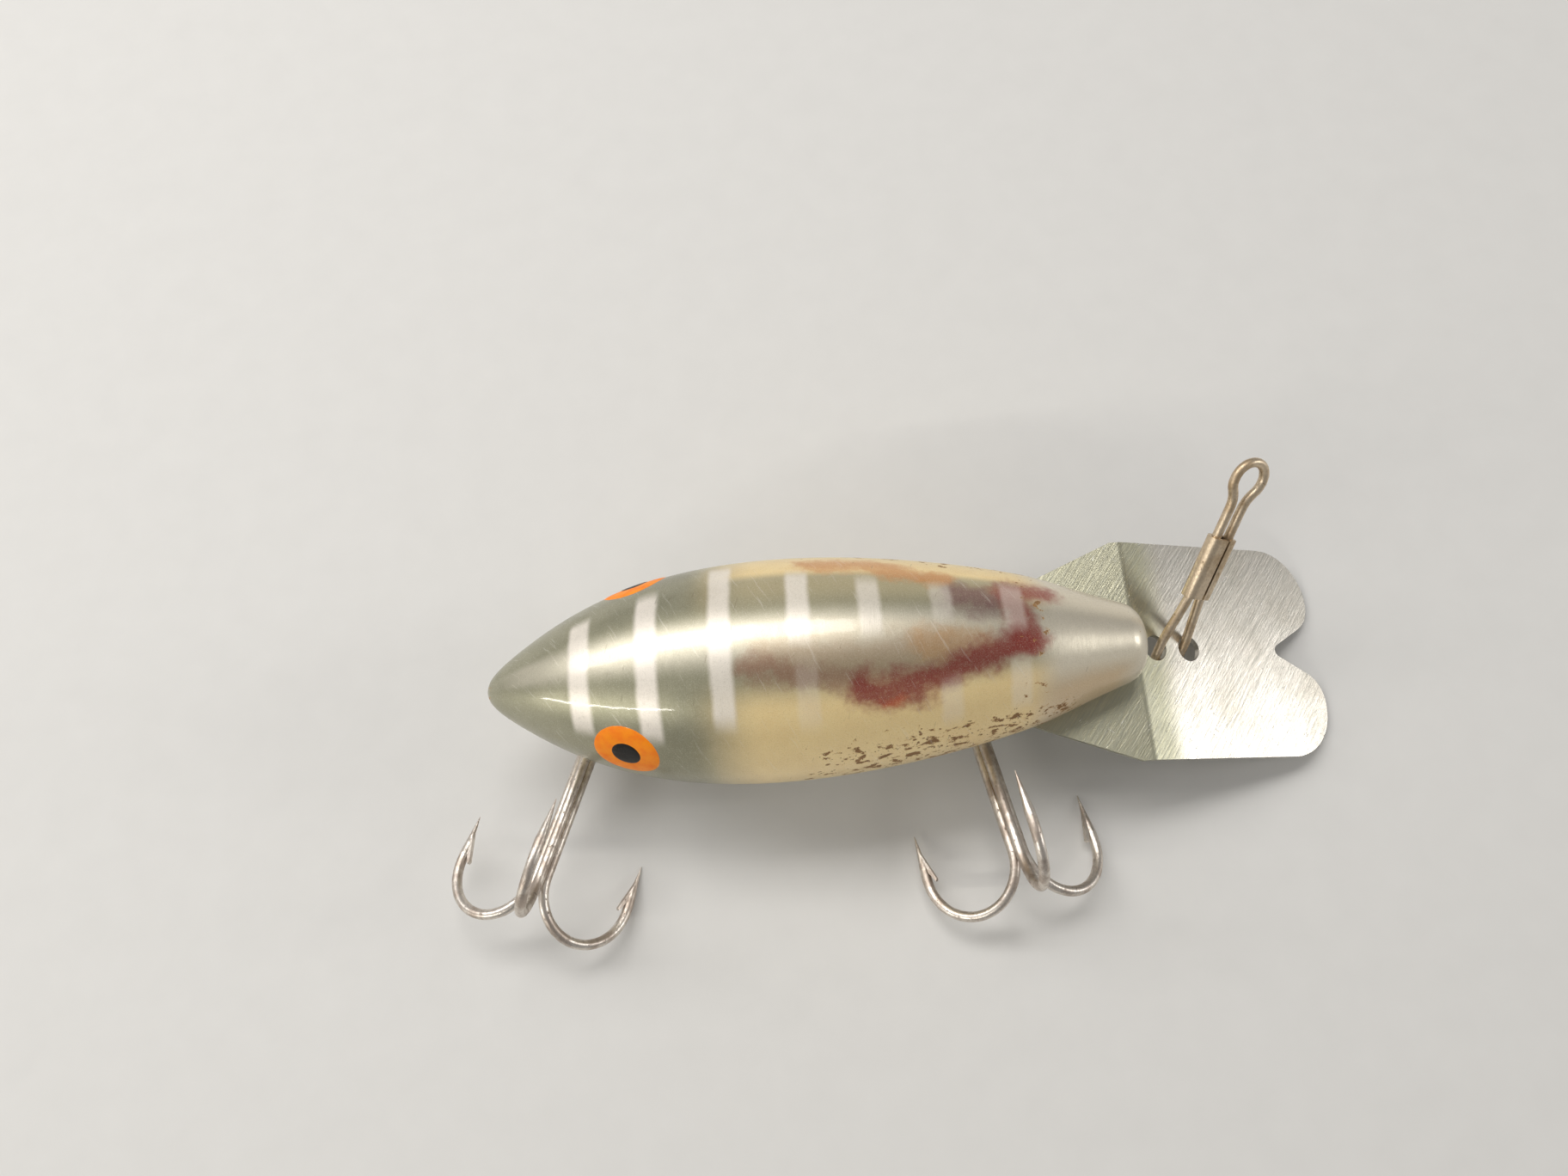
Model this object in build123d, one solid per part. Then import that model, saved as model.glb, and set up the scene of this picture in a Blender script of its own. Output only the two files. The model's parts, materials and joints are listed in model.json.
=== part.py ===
from build123d import *
import math
import os

# A hard-bodied diving plug: a turned wooden body that rests on its belly hardware, a bent metal
# diving lip screwed under the nose, a wire line tie that swings in two holes of the lip, and two
# treble hooks that slide on the rings of screw eyes.  Millimetres.
#
# The plug is laid out with the tail tip at X = 0, the lip towards +X, the back up (+Z), the floor
# at Z = 0 and Y = 0 as its middle plane.  All pieces are then moved together so that the origin
# is the middle of the bottom of the whole object's box.

# ---------------------------------------------------------------- driving dimensions
BODY_LENGTH = 76.0          # tail tip to the end of the nose
AXIS_HEIGHT = 15.0          # turning axis of the body above the floor
NOSE_START = 71.0           # where the nose's straight taper starts
NOSE_RADIUS = 5.7           # radius there
NOSE_TAPER = 0.36           # fall of the radius over the taper, per unit of length
NOSE_ROUND = 3.2            # rounding of the nose's end
BODY_CURVE = (              # Bezier points (distance from the tail tip, radius) up to the shoulder
    (0, 0), (0, 5.0), (13.2, 4.1), (10.0, 22.9), (58.8, 9.9), (62.6, 8.8),
)
BLEND_PULL = 0.33           # how far the curve between follows the body and the nose, as a share

PLATE = 0.7                 # thickness of the lip's metal
LIP_PITCH = 23.5            # degrees that the front of the lip dips below the body's axis
LIP_FRONT = 27.4            # from the bend to the ends of the lobes
LIP_HALF_WIDTH = 13.2
LIP_NOTCH = 19.9            # from the bend to the bottom of the notch between the lobes
NOTCH_ANGLE = 28.0          # half angle of the notch
LOBE_ROUND = 6.6            # outer corner of a lobe
LOBE_INNER_ROUND = 4.0      # inner corner of a lobe
NOTCH_ROUND = 0.8
BEND_RADIUS = 1.2           # at the middle of the metal
BEND_X = 76.0               # where the flat base of the lip ends and the bend starts
BASE_BACK = 61.2            # back edge of the lip's base
BASE_BACK_HALF = 7.6
BASE_CORNER_ROUND = 2.0
BASE_SHOULDER = 1.0         # how far behind the bend the base reaches its full width
SHOULDER_GAP = 0.3          # between the lip's back edge and the body's shoulder
SHOULDER_LEAN = 0.5         # how far the shoulder leans back from the lip's seat to the floor
CORNER_MATCH = 0.01         # how closely a corner of the outline is matched to its place
LIP_SCREWS = ((64.4, 8.5), (71.2, 6.5))    # place along the plug, length
SCREW_HEAD = 2.0            # screw head radius
SCREW_DOME = 1.3            # screw head height
SCREW_SLOT = 0.5
SCREW_THREAD = 1.05
SCREW_CORE = 0.75
SCREW_PLAY = 0.1            # round a screw in the lip
SCREW_NECK = 1.2            # plain shank under the head
SCREW_PITCH = 0.9
CROWN_RADIUS = 2.25         # radius of the head's curve
GIMLET = 2.5                # length of a screw's point, in core radii
VALLEY = (0.3, 0.6)         # where the bottom of a thread's valley starts and ends, in pitches

TIE_HOLES = (2.4, 7.3)      # line tie holes, from the bend along the front of the lip
TIE_HOLE_RADIUS = 1.54
TIE_WIRE = 0.54             # wire radius
TIE_SPREAD = 1.87           # half the distance between the legs where they pass through the lip
TIE_NECK = 0.92             # the same, in the sleeve
TIE_CROSSBAR = 1.85         # crossbar's middle below the middle of the lip's metal
TIE_EYE = 2.15              # eye radius to the middle of the wire
TIE_EYE_THROAT = 3.5        # radius of the curve from a leg into the eye
TIE_FOOT = 1.1              # where the legs leave the holes and start to draw together
TIE_WAIST = 6.9             # where they run side by side
TIE_LEG_TOP = 18.4          # where the legs start to open into the eye
TIE_BENDS = (1.6, 0.9)      # bend radii at the waist, and at the feet and crossbar
TIE_END_GAP = (9.6, 10.0)   # the wire's two ends, inside the sleeve
TIE_SWING = 46.0            # degrees that the tie leans to the left side at rest
TIE_LEAN = 6.2              # degrees that it leans towards the front of the lip

SLEEVE = (7.2, 14.8)        # start and end of the sleeve along the legs
SLEEVE_WALL = 0.42
SLEEVE_PLAY = 0.02
SLEEVE_SEAM = 0.3
SLEEVE_SEAM_OFFSET = 0.3    # the seam's middle from the sleeve's

RING = 2.1                  # screw eye: ring radius to the middle of the wire
RING_WIRE = 0.65
RING_GAP = 0.3              # gap where the ring's end stops beside its stem
RING_GAP_ANGLE = 24.0
EYE_SHANK = 13.0            # screw eye's stem above its ring's top
EYE_CORE = 0.5              # radius at the bottom of the stem's thread
EYE_PITCH = 0.8
EYE_NECK = 0.6              # plain stem above the flat that its cup is pressed against
REAR_EYE_X = 10.6
FRONT_EYE_X = 56.6
CUP_RADIUS = 3.2
CUP_DEPTH = 1.7
CUP_METAL = 0.3
CUP_CROWN = 2.2             # radius of the cup's flat top
CUP_WAIST = 2.8             # radius where its side turns out into the rim
CUP_LIP = 0.25              # height of the rim's rolled edge
CUP_PLAY = 0.05             # round the stem
REAR_CUP_TOP = 8.1          # height of the flat that a cup is pressed against
FRONT_CUP_TOP = 6.4
HOOK_WIRE = 0.6
HOOK_EYE = 1.75
HOOK_EYE_THROAT = 1.5
HOOK_BEND = 5.7             # bend radius to the middle of the wire
HOOK_SHANK = 20.0           # from the eye's middle to the start of the bend
HOOK_POINT = 14.3           # tip of the point, from the eye's middle
POINT_TAPER = 4.7
POINT_TIP = 0.04            # radius of the very tip
BARB = (                    # outline of a barb: distance from the hook's middle, from its tip
    (0.1, 1.9), (1.35, 5.7), (1.15, 5.95), (0.35, 4.4), (0.0, 4.4),
)
BARB_HALF_THICKNESS = 0.27
HOOK_SPREAD = 60.0          # degrees of each hook of the double from the line between them
HOOK_PAIR_GAP = 0.02        # half the gap between the two legs of the double hook
BRAZE = (4.2, 15.5)         # start and end of the braze along the shank
BRAZE_FIT = 0.004           # between the braze and the wires, so that they only touch
SINGLE_TOP = 3.6            # top end of the third hook's shank
# How each treble lies with its double hook on the floor, in degrees: its shank above level, the
# shank turned from straight out to the side, and the treble rolled about its shank.
REAR_HOOK_LIE = (15.2, -18.0, 13.0)
FRONT_HOOK_LIE = (11.3, 10.0, 0.0)
CLEARANCE = 0.02            # between a cup and its pocket

# ---------------------------------------------------------------- derived places
PLATE_LEVEL = (             # middle of the lip's flat base above the floor
    LIP_FRONT * math.sin(math.radians(LIP_PITCH))
    + BEND_RADIUS * (1 - math.cos(math.radians(LIP_PITCH)))
    + PLATE / 2 * math.cos(math.radians(LIP_PITCH))
)
SEAT_LEVEL = PLATE_LEVEL + PLATE / 2
UNDER_PLATE = PLATE_LEVEL - PLATE / 2
ALONG_LIP = Vector(math.cos(math.radians(LIP_PITCH)), 0, -math.sin(math.radians(LIP_PITCH)))
OFF_LIP = Vector(math.sin(math.radians(LIP_PITCH)), 0, math.cos(math.radians(LIP_PITCH)))
FRONT_START = Vector(
    BEND_X + BEND_RADIUS * math.sin(math.radians(LIP_PITCH)),
    0,
    PLATE_LEVEL - BEND_RADIUS * (1 - math.cos(math.radians(LIP_PITCH))),
)
TIE_PIVOT = FRONT_START + ALONG_LIP * (sum(TIE_HOLES) / 2)
RING_LEVEL = RING + RING_WIRE
HOOK_LEG = HOOK_WIRE + HOOK_PAIR_GAP                 # a leg of the double hook from the middle
HOOK_THIRD = HOOK_LEG * math.sqrt(3)                 # the third shank above the plane of the legs
LINKED = RING + HOOK_EYE - RING_WIRE - HOOK_WIRE - 0.05   # ring's middle to hook eye's middle


def tie_direction(swing):
    """Where the line tie's legs point when it leans by swing degrees towards +Y."""
    lean = math.radians(swing)
    return OFF_LIP * math.cos(lean) + Vector(0, 1, 0) * math.sin(lean)


def tie_plane(swing=TIE_SWING):
    """The line tie's own frame: X along the lip, Z up its legs, origin in its two holes."""
    upright = Plane(origin=TIE_PIVOT, x_dir=ALONG_LIP, z_dir=tie_direction(swing))
    return upright.rotated((0, TIE_LEAN, 0))


def hook_plane(eye_x, raised, yaw, roll):
    """A treble's own frame: origin in its eye, Z along the shank, Y towards the third hook."""
    out = Vector(0, -math.cos(math.radians(raised)), math.sin(math.radians(raised)))
    turn = math.radians(yaw)
    shank = out * math.cos(turn) + Vector(1, 0, 0) * math.sin(turn)
    across = Vector(1, 0, 0) * math.cos(turn) - out * math.sin(turn)
    rolled = across * math.cos(math.radians(roll)) - shank.cross(across) * math.sin(math.radians(roll))
    eye = Vector(eye_x, 0, RING_LEVEL) + out * LINKED
    return Plane(origin=eye, x_dir=rolled, z_dir=shank)


# ---------------------------------------------------------------- wire work
def loop_edges(ring, throat, leg, leg_end):
    """Edges in the XZ plane from a leg at +leg, round an eye, to a leg at -leg.

    The legs stop at Z = leg_end, and the eye lies above them.  Returns the edges and the
    height of the eye's middle."""
    rise = math.sqrt((ring + throat) ** 2 - (leg + throat) ** 2)
    middle = leg_end + rise
    share = ring / (ring + throat)
    touch_x = (leg + throat) * share
    touch_z = middle - rise * share
    half_turn = math.atan2(rise, leg + throat) / 2
    bow_x = leg + throat - throat * math.cos(half_turn)
    bow_z = leg_end + throat * math.sin(half_turn)
    edges = [
        ThreePointArc((leg, 0, leg_end), (bow_x, 0, bow_z), (touch_x, 0, touch_z)),
        ThreePointArc((touch_x, 0, touch_z), (0, 0, middle + ring), (-touch_x, 0, touch_z)),
        ThreePointArc((-touch_x, 0, touch_z), (-bow_x, 0, bow_z), (-leg, 0, leg_end)),
    ]
    return edges, middle


def round_wire(edges, radius):
    """A round wire swept along edges that follow each other."""
    path = Wire(edges)
    section = Plane(origin=path @ 0, z_dir=path % 0) * Circle(radius)
    return sweep(section, path=path)


def line_tie_wire():
    """One wire: a crossbar under the lip, two legs up through its holes, and an eye on top."""
    waist_bend, foot_bend = TIE_BENDS
    lower = FilletPolyline(
        (TIE_NECK, 0, TIE_END_GAP[0]),
        (TIE_NECK, 0, TIE_WAIST),
        (TIE_SPREAD, 0, TIE_FOOT),
        (TIE_SPREAD, 0, -TIE_CROSSBAR),
        (-TIE_SPREAD, 0, -TIE_CROSSBAR),
        (-TIE_SPREAD, 0, TIE_FOOT),
        (-TIE_NECK, 0, TIE_WAIST),
        (-TIE_NECK, 0, TIE_LEG_TOP),
        radius=[waist_bend, *[foot_bend] * 4, waist_bend],
    )
    eye, _ = loop_edges(TIE_EYE, TIE_EYE_THROAT, TIE_NECK, TIE_LEG_TOP)
    back = [ThreePointArc(edge @ 1, edge @ 0.5, edge @ 0) for edge in reversed(eye)]
    last = Line((TIE_NECK, 0, TIE_LEG_TOP), (TIE_NECK, 0, TIE_END_GAP[1]))
    wire = round_wire([*lower.edges(), *back, last], TIE_WIRE)
    return tie_plane().location * wire


def stadium(half_height, reach):
    """A slot shape along X whose end circles are centred at +reach and -reach."""
    return SlotCenterToCenter(2 * reach, 2 * half_height)


def line_tie_sleeve():
    """A strip of metal closed round both legs, with its seam on the side away from the lip."""
    inner = TIE_WIRE + SLEEVE_PLAY
    length = SLEEVE[1] - SLEEVE[0]
    tube = extrude(stadium(inner + SLEEVE_WALL, TIE_NECK), length)
    tube -= extrude(stadium(inner, TIE_NECK), length)
    seam_place = Pos(SLEEVE_SEAM_OFFSET, -inner - SLEEVE_WALL / 2, length / 2)
    tube -= seam_place * Box(SLEEVE_SEAM, 2 * SLEEVE_WALL, 2 * length)
    return tie_plane().location * Pos(0, 0, SLEEVE[0]) * tube


# ---------------------------------------------------------------- treble hooks
def bend_edges(start, direction):
    """Edges of one hook from the end of its straight shank, round the bend, to the taper."""
    near = Vector(*start, HOOK_SHANK)
    low = near + direction * HOOK_BEND + Vector(0, 0, HOOK_BEND)
    far = near + direction * (2 * HOOK_BEND)
    taper = Vector(far.X, far.Y, HOOK_POINT + POINT_TAPER)
    return [ThreePointArc(near, low, far), Line(far, taper)]


def hook_point(start, direction):
    """The tapered point of one hook and the barb raised on its inner side."""
    tip = Vector(*start, HOOK_POINT) + direction * (2 * HOOK_BEND)
    place = Plane(origin=tip, x_dir=direction * -1, z_dir=(0, 0, 1))
    taper = Pos(0, 0, POINT_TAPER / 2) * Cone(POINT_TIP, HOOK_WIRE, POINT_TAPER)
    outline = Polyline(*BARB, close=True)
    barb = Rot(90, 0, 0) * extrude(make_face(outline), BARB_HALF_THICKNESS, both=True)
    return place.location * (taper + barb)


def double_hook():
    """One wire bent into an eye, two legs side by side, and two hooks a third of a turn apart."""
    eye, middle = loop_edges(HOOK_EYE, HOOK_EYE_THROAT, HOOK_LEG, 0)
    flip = Pos(0, 0, middle) * Rot(180, 0, 0)
    loop = [flip * edge for edge in eye]
    wire_parts = []
    spread = math.radians(HOOK_SPREAD)
    for side in (1, -1):
        start = (side * HOOK_LEG, 0)
        direction = Vector(side * math.sin(spread), -math.cos(spread), 0)
        leg = Line((side * HOOK_LEG, 0, middle), (side * HOOK_LEG, 0, HOOK_SHANK))
        wire_parts.append(round_wire([leg, *bend_edges(start, direction)], HOOK_WIRE))
        wire_parts.append(hook_point(start, direction))
    hook = round_wire(loop, HOOK_WIRE)
    for piece in wire_parts:
        hook += piece
    return hook


def single_hook():
    """The third hook: a wire cut square at its top end, laid in the groove of the double hook."""
    start = (0, HOOK_THIRD)
    direction = Vector(0, 1, 0)
    shank = Line((0, HOOK_THIRD, SINGLE_TOP), (0, HOOK_THIRD, HOOK_SHANK))
    hook = round_wire([shank, *bend_edges(start, direction)], HOOK_WIRE)
    return hook + hook_point(start, direction)


def hook_braze():
    """Filler metal between the three shanks."""
    middle = HOOK_THIRD / 3
    spread = 2 * HOOK_LEG / math.sqrt(3) + HOOK_WIRE
    corners = [
        (spread * math.cos(math.radians(a)), middle + spread * math.sin(math.radians(a)))
        for a in (90, 210, 330)
    ]
    length = BRAZE[1] - BRAZE[0]
    filler = extrude(make_face(Polyline(*corners, close=True)), length)
    for x, y in ((HOOK_LEG, 0), (-HOOK_LEG, 0), (0, HOOK_THIRD)):
        filler -= Pos(x, y, length / 2) * Cylinder(HOOK_WIRE + BRAZE_FIT, 2 * length)
    return Pos(0, 0, BRAZE[0]) * filler.solids().sort_by(SortBy.VOLUME)[-1]


def treble(name, eye_x, lie):
    """The three pieces of a treble hook where it lies at rest."""
    place = hook_plane(eye_x, *lie).location
    return {
        f"{name}_double_hook": place * double_hook(),
        f"{name}_single_hook": place * single_hook(),
        f"{name}_hook_braze": place * hook_braze(),
    }


# ---------------------------------------------------------------- fasteners
def threaded_shank(core, thread, plain, length, pitch):
    """A wood screw's shank along +Z: a plain neck, ridges, and a gimlet point."""
    point = GIMLET * core
    valley_start, valley_end = VALLEY
    outline = [(0, 0), (thread, 0), (thread, plain)]
    ridges = int((length - plain - point) / pitch)
    for i in range(ridges):
        low = plain + i * pitch
        outline += [(core, low + valley_start * pitch), (core, low + valley_end * pitch)]
        outline.append((thread, low + pitch))
    outline += [(core, length - point), (0, length)]
    profile = Plane.XZ * make_face(Polyline(*outline, close=True))
    return revolve(profile, Axis.Z)


def lip_screw(x, length):
    """A slotted round-head wood screw driven up through the lip into the nose."""
    rim = Line((0, 0), (SCREW_HEAD, 0))
    crown = RadiusArc((SCREW_HEAD, 0), (0, -SCREW_DOME), CROWN_RADIUS)
    dome = make_face(Curve() + [rim, crown, Line(crown @ 1, (0, 0))])
    screw = revolve(Plane.XZ * dome, Axis.Z)
    screw += threaded_shank(SCREW_CORE, SCREW_THREAD, SCREW_NECK, length, SCREW_PITCH)
    screw -= Pos(0, 0, -SCREW_DOME) * Box(3 * SCREW_HEAD, SCREW_SLOT, SCREW_DOME)
    return Pos(x, 0, UNDER_PLATE) * screw


def screw_eye(x, embedded, cup_top):
    """A ring bent from the end of a threaded stem.  The ring faces along the plug."""
    ring = Rot(0, 90, 0) * Torus(RING, RING_WIRE)
    angle = math.radians(RING_GAP_ANGLE)
    gap_place = Pos(0, RING * math.sin(angle), RING * math.cos(angle)) * Rot(-RING_GAP_ANGLE, 0, 0)
    ring -= gap_place * Box(4 * RING_WIRE, RING_GAP, 4 * RING_WIRE)
    neck = cup_top - RING_LEVEL - RING + EYE_NECK
    stem = threaded_shank(EYE_CORE, RING_WIRE, neck, embedded, EYE_PITCH)
    return Pos(x, 0, RING_LEVEL) * (ring + Pos(0, 0, RING) * stem)


def cup_washer(x, top):
    """A pressed cup round a screw eye's stem, open downwards, with a rolled-out rim."""
    bore = RING_WIRE + CUP_PLAY
    outer = [(bore, 0), (CUP_CROWN, 0), (CUP_WAIST, CUP_METAL - CUP_DEPTH), (CUP_RADIUS, -CUP_DEPTH)]
    inner = [
        (CUP_RADIUS - CUP_METAL / 3, -CUP_DEPTH - CUP_LIP),
        (CUP_WAIST - CUP_METAL, CUP_METAL / 2 - CUP_DEPTH),
        (CUP_CROWN - CUP_METAL / 2, -CUP_METAL),
        (bore, -CUP_METAL),
    ]
    outline = Polyline(*outer, *inner, close=True)
    return Pos(x, 0, top) * revolve(Plane.XZ * make_face(outline), Axis.Z)


# ---------------------------------------------------------------- lip and body
def lip_base():
    """The flat base of the lip, its back corners rounded, and the bend at its front."""
    shoulder = BEND_X - BASE_SHOULDER
    outline = Polyline(
        (BASE_BACK, BASE_BACK_HALF), (shoulder, LIP_HALF_WIDTH), (BEND_X, LIP_HALF_WIDTH),
        (BEND_X, -LIP_HALF_WIDTH), (shoulder, -LIP_HALF_WIDTH), (BASE_BACK, -BASE_BACK_HALF),
        close=True,
    )
    base = make_face(outline)
    base = fillet(base.vertices().group_by(Axis.X)[0], BASE_CORNER_ROUND)
    plate = Pos(0, 0, UNDER_PLATE) * extrude(base, PLATE)
    bend_face = Plane.YZ * Rectangle(2 * LIP_HALF_WIDTH, PLATE)
    bend_axis = Axis((BEND_X, 0, PLATE_LEVEL - BEND_RADIUS), (0, 1, 0))
    return plate + revolve(Pos(BEND_X, 0, PLATE_LEVEL) * bend_face, bend_axis, LIP_PITCH)


def lip_front():
    """The heart-shaped front of the lip: two lobes with a notch between them, and the tie's holes."""
    lobe_corner = (LIP_FRONT - LIP_NOTCH) * math.tan(math.radians(NOTCH_ANGLE))
    outline = Polyline(
        (0, LIP_HALF_WIDTH), (LIP_FRONT, LIP_HALF_WIDTH), (LIP_FRONT, lobe_corner), (LIP_NOTCH, 0),
        (LIP_FRONT, -lobe_corner), (LIP_FRONT, -LIP_HALF_WIDTH), (0, -LIP_HALF_WIDTH),
        close=True,
    )
    front = make_face(outline)
    rounds = ((LIP_FRONT, LIP_HALF_WIDTH, LOBE_ROUND), (LIP_FRONT, lobe_corner, LOBE_INNER_ROUND),
              (LIP_NOTCH, 0, NOTCH_ROUND))
    for x, y, radius in rounds:
        corners = front.vertices().filter_by(
            lambda v: abs(v.X - x) < CORNER_MATCH and abs(abs(v.Y) - y) < CORNER_MATCH
        )
        front = fillet(corners, radius)
    for along in TIE_HOLES:
        front -= Pos(along, 0) * Circle(TIE_HOLE_RADIUS)
    slope = Plane(origin=FRONT_START, x_dir=ALONG_LIP, z_dir=OFF_LIP)
    return slope.location * extrude(front, PLATE / 2, both=True)


def diving_lip():
    """The bent metal lip, drilled for its screws."""
    plate = lip_base() + lip_front()
    for x, _ in LIP_SCREWS:
        plate -= Pos(x, 0, PLATE_LEVEL) * Cylinder(SCREW_THREAD + SCREW_PLAY, 2 * PLATE)
    return plate


def wood_body():
    """The turned body, with the lip's seat cut under the nose and drilled for its fasteners."""
    crown = Bezier(*BODY_CURVE)
    shoulder = crown @ 1
    pull = (NOSE_START - shoulder.X) * BLEND_PULL
    nose_start = Vector(NOSE_START, NOSE_RADIUS)
    nose_fall = Vector(1, -NOSE_TAPER)
    blend = Bezier(shoulder, shoulder + crown % 1 * pull, nose_start - nose_fall * pull, nose_start)
    nose_end = nose_start + nose_fall * (BODY_LENGTH - NOSE_START)
    nose = FilletPolyline(nose_start, nose_end, (BODY_LENGTH, 0), radius=NOSE_ROUND)
    profile = make_face(Curve() + [crown, blend, nose, Line((BODY_LENGTH, 0), (0, 0))])
    body = Pos(0, 0, AXIS_HEIGHT) * revolve(profile, Axis.X)

    step = BASE_BACK - SHOULDER_GAP
    beyond = BODY_LENGTH + PLATE
    seat = Plane.XZ * make_face(Polyline(
        (step, SEAT_LEVEL), (beyond, SEAT_LEVEL), (beyond, 0), (step - SHOULDER_LEAN, 0),
        close=True,
    ))
    body -= extrude(seat, 2 * LIP_HALF_WIDTH, both=True)
    for x, top in ((REAR_EYE_X, REAR_CUP_TOP), (FRONT_EYE_X, FRONT_CUP_TOP)):
        body -= Pos(x, 0, top / 2) * Cylinder(CUP_RADIUS + CLEARANCE, top)
        body -= screw_eye(x, EYE_SHANK, top)
    for x, length in LIP_SCREWS:
        body -= lip_screw(x, length)
    return body


def pieces():
    """Every piece by name, where it lies at rest."""
    found = {
        "wood_body": wood_body(),
        "diving_lip": diving_lip(),
        "lip_screw_rear": lip_screw(*LIP_SCREWS[0]),
        "lip_screw_front": lip_screw(*LIP_SCREWS[1]),
        "line_tie_wire": line_tie_wire(),
        "line_tie_sleeve": line_tie_sleeve(),
        "rear_screw_eye": screw_eye(REAR_EYE_X, EYE_SHANK, REAR_CUP_TOP),
        "front_screw_eye": screw_eye(FRONT_EYE_X, EYE_SHANK, FRONT_CUP_TOP),
        "rear_cup_washer": cup_washer(REAR_EYE_X, REAR_CUP_TOP),
        "front_cup_washer": cup_washer(FRONT_EYE_X, FRONT_CUP_TOP),
    }
    found.update(treble("rear", REAR_EYE_X, REAR_HOOK_LIE))
    found.update(treble("front", FRONT_EYE_X, FRONT_HOOK_LIE))
    return found


def main():
    """Writes every piece, moved so that the origin is the middle of the bottom of the box."""
    found = pieces()
    box = Compound(children=[Compound(piece.solids()) for piece in found.values()]).bounding_box()
    shift = Vector(-box.center().X, -box.center().Y, -box.min.Z)
    print("origin in the layout frame", -shift, "box", box.size)
    os.makedirs("parts", exist_ok=True)
    for name, piece in found.items():
        solids = piece.solids()
        moved = Pos(*shift) * (solids[0] if len(solids) == 1 else Compound(solids))
        export_step(moved, f"parts/{name}.step")


if __name__ == "__main__":
    main()
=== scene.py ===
import json
import math

import bpy
from mathutils import Matrix, Vector
from mathutils.bvhtree import BVHTree


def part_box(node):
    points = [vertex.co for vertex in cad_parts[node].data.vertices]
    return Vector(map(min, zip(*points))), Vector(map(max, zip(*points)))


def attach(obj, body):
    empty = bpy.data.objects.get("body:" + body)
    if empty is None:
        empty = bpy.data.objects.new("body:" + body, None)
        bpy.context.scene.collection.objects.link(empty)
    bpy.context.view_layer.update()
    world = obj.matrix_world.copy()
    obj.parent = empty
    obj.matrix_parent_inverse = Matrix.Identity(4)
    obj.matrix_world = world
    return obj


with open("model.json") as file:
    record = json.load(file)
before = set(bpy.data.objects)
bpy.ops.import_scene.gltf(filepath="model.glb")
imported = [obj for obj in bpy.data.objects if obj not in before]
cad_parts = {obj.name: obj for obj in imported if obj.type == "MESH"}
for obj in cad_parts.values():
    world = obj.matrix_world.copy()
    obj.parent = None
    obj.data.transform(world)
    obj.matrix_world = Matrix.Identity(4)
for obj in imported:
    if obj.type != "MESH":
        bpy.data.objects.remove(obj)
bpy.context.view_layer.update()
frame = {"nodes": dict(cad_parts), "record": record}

# A wooden diving plug: sprayed and lacquered body with raised enamel eyes, a brushed metal lip,
# and tarnished wire hardware.  The solids come from the frame; this script gives every one its
# material, adds the enamel eyes, and sets up the studio.

MM = 0.001
NODES = frame["nodes"]

BODY_LOW, BODY_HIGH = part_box("wood_body")
TAIL_X = BODY_LOW.x
AXIS_Y = (BODY_LOW.y + BODY_HIGH.y) / 2
AXIS_Z = (BODY_LOW.z + BODY_HIGH.z) / 2
BODY_MIDDLE = (BODY_LOW + BODY_HIGH) / 2

# ---------------------------------------------------------------- the paint's layout
# Stations are millimetres from the tail tip.  Angles are degrees round the body from the top of
# the back, positive on the right side, which is -Y.
EYES = {"right": (17.0, 59.0), "left": (18.2, -70.0)}
IRIS_RADIUS = 3.9
PUPIL_RADIUS = 1.85
IRIS_HEIGHT = 0.10          # thickness of the enamel over the paint
PUPIL_HEIGHT = 0.17
ENAMEL_SINK = 0.05          # how far the enamel's rim lies under the paint
EYE_CLEAR = 5.0             # how far outside the body an eye's points are cast from

RIB_HALF_WIDTH = 0.80
RIB_EDGE = 0.75             # fade along the body outside that
RIB_END = 13.0              # fade past a rib's ends, in degrees
RIBS = (                    # station, lowest angle, highest angle, strength
    (12.6, -30, 39, 0.95),
    (20.4, -34, 40, 1.00),
    (28.5, -50, 32, 0.85),
    (37.0, -36, -8, 0.80),
    (37.4, 16, 36, 0.22),
    (44.6, -29, -10, 0.66),
    (52.4, -26, -16, 0.42),
    (52.6, 32, 44, 0.30),
    (60.3, -31, -10, 0.40),
    (60.3, 24, 44, 0.36),
)
MEAN_RADIUS = 11.0          # turns an angle into a distance round the body

# the sprayed lines, each as (station, angle) points
RED_STRIPE = ((43.5, 26), (45.5, 28.5), (48.5, 27.5), (52, 21), (55.5, 15), (58.5, 8), (61.5, 4))
BROWN_STRIPE = ((31, 9), (36, 14), (40, 19), (43.5, 25))
RED_CAP = ((61, 8), (60.8, -12), (59.8, -33), (64, -36))
ORANGE_STRIPE = ((38, -52), (46, -49), (53, -38))
PURPLE_PATCH = ((54.0, -24), (58, -22))
GOLD_PATCH = ((50, 3), (56, 4))
TAN_BACK = ((33, 6), (45, 10), (52, 8))
ORANGE_SPOT = ((45.2, 33.5), (46.6, 33.5))


def srgb(red, green, blue):
    """A linear colour from the 0 to 255 values that a picture shows."""
    def linear(value):
        value = value / 255
        return value / 12.92 if value < 0.04045 else ((value + 0.055) / 1.055) ** 2.4
    return (linear(red), linear(green), linear(blue), 1.0)


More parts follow.
